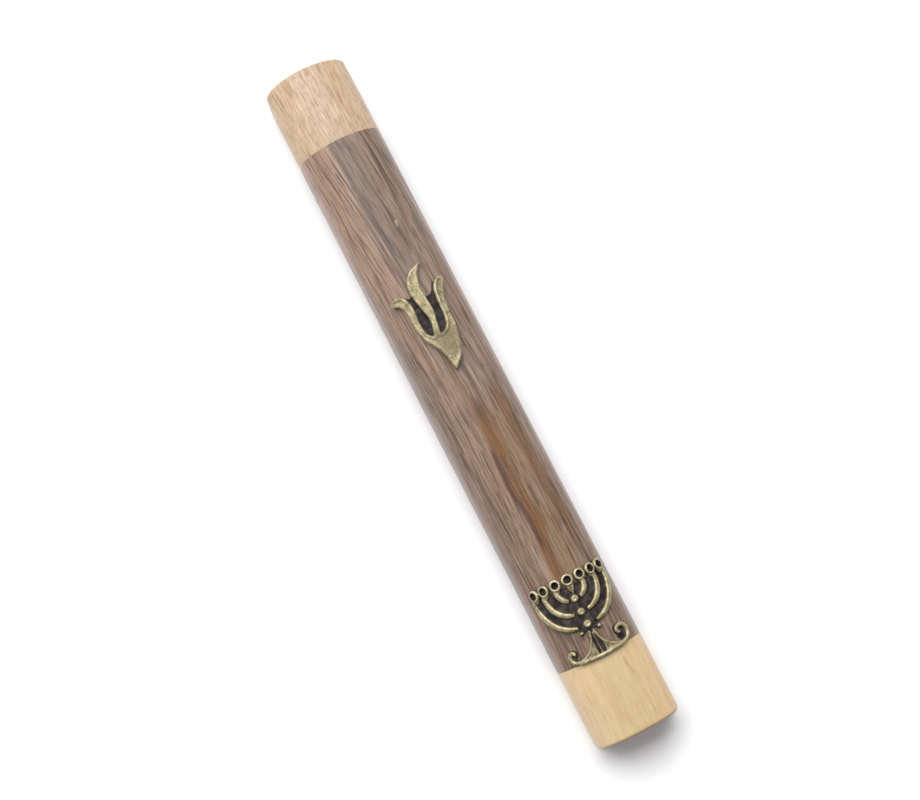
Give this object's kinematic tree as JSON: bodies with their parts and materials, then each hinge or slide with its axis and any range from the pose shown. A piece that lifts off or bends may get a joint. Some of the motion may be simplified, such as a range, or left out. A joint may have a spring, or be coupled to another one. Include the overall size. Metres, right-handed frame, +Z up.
{
  "type": "mezuzah case",
  "caption": "Slim wall-hung case with a crowned wooden front, cast emblems, and a covered channel behind that holds a rolled scroll.",
  "frame": {"origin": "on the door post's face, behind the middle of the case, where the adhesive pads meet the post", "axes": "+Z up along the case as it hangs, +Y into the door post, so the crowned front faces -Y and +X is to the right as seen from the front"},
  "size_m": [0.0198, 0.0177, 0.165],
  "materials": {
    "walnut": "satin varnish over straight-grained brown wood with darker streaks",
    "beech_top": "satin, pale pinkish with fine dark flecks",
    "beech_bottom": "satin, pale yellowish and smoother",
    "dowel_wood": "bare",
    "parchment": "matt cream",
    "antique_brass": "cast, brushed high spots over blackened recesses",
    "adhesive_foam": "matt white foam"
  },
  "bodies": {
    "case": {"walnut_body": "walnut", "top_end_block": "beech_top", "bottom_end_block": "beech_bottom", "top_dowel_left": "dowel_wood", "top_dowel_right": "dowel_wood", "bottom_dowel_left": "dowel_wood", "bottom_dowel_right": "dowel_wood", "shin_emblem": "antique_brass", "menorah_emblem": "antique_brass", "upper_adhesive_pad": "adhesive_foam", "lower_adhesive_pad": "adhesive_foam"},
    "cover": {"back_cover": "walnut"},
    "scroll": {"scroll": "parchment"}
  },
  "joints": [
    {"name": "cover_lift", "type": "slide", "parent": "case", "child": "cover", "axis": [0, 1, 0], "range_m": [0, 0.04]},
    {"name": "scroll_lift", "type": "slide", "parent": "case", "child": "scroll", "axis": [0, 1, 0], "range_m": [0, 0.02]}
  ],
  "couplings": [
    {"joint": "scroll_lift", "follows": "cover_lift", "ratio": 0.5}
  ]
}
